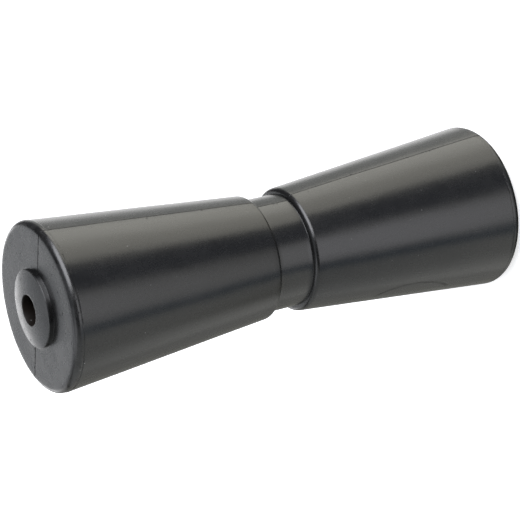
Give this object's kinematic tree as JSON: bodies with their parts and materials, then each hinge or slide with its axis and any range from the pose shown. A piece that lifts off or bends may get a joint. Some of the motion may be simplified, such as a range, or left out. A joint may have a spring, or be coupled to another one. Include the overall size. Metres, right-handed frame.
{
  "type": "boat trailer roller",
  "caption": "Keel roller moulded in black rubber: two cones taper to a straight neck that carries a keel, with rounded shoulders, crowned hub bosses and a through bore.",
  "frame": {"origin": "centre of the lower boss's flat land, which the roller stands on", "axes": "+Z along the roller's axis, from the end it stands on to the other end; X and Y are equal, and the mould's parting plane is the XZ plane"},
  "size_m": [0.0963, 0.0964, 0.3],
  "materials": {
    "black_rubber": "satin moulded rubber"
  },
  "bodies": {
    "root": {"roller": "black_rubber"}
  },
  "joints": []
}
